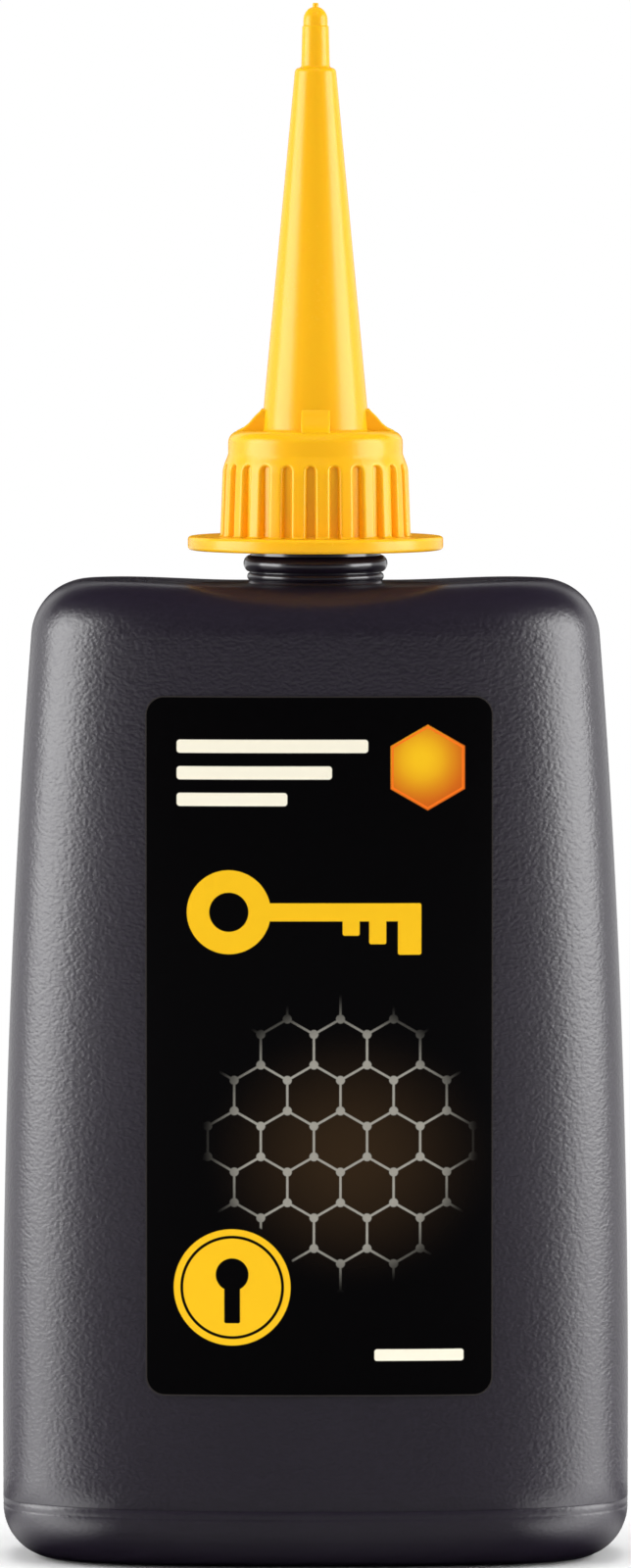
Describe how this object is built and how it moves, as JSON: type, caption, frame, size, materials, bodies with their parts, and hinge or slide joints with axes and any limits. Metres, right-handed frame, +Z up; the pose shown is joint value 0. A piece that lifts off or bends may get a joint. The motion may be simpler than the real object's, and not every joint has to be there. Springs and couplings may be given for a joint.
{
  "type": "graphite lock lubricant bottle",
  "caption": "Flat plastic squeeze bottle of graphite powder for locks, with a ribbed screw cap that carries a long tapered spout with a closed tip.",
  "frame": {"origin": "middle of the base, on the surface that the bottle stands on", "axes": "+Z up along the neck and spout, -Y out of the labelled front, +X to the viewer's right"},
  "size_m": [0.0598, 0.0274, 0.148],
  "materials": {
    "bottle_plastic": "blown polyethylene, blue-black, satin with a fine pebbled mould grain on the faces and a smoother shoulder, neck and base",
    "cap_plastic": "moulded polyethylene, warm yellow, smooth semi-gloss, slightly translucent at thin edges",
    "washer_foam": "off-white foamed polyethylene liner, matte",
    "label_film": "black printed film label with a soft gloss and a thin paler cut edge",
    "graphite": "fine dry graphite powder, dark grey with a faint metallic sheen"
  },
  "bodies": {
    "bottle": {"bottle": "bottle_plastic", "front_label": "label_film", "back_label": "label_film", "graphite_powder": "graphite"},
    "washer": {"sealing_washer": "washer_foam"},
    "cap": {"spout_cap": "cap_plastic"}
  },
  "joints": [
    {"name": "cap_rise", "type": "slide", "parent": "bottle", "child": "washer", "axis": [0, 0, 1], "range_m": [0, 0.01]},
    {"name": "cap_turn", "type": "hinge", "parent": "washer", "child": "cap", "pos_m": [0, 0, 0.1064], "axis": [0, 0, 1], "range_deg": [0, 1440]}
  ],
  "couplings": [
    {"joint": "cap_turn", "follows": "cap_rise", "rad_per_m": 2513.3}
  ]
}
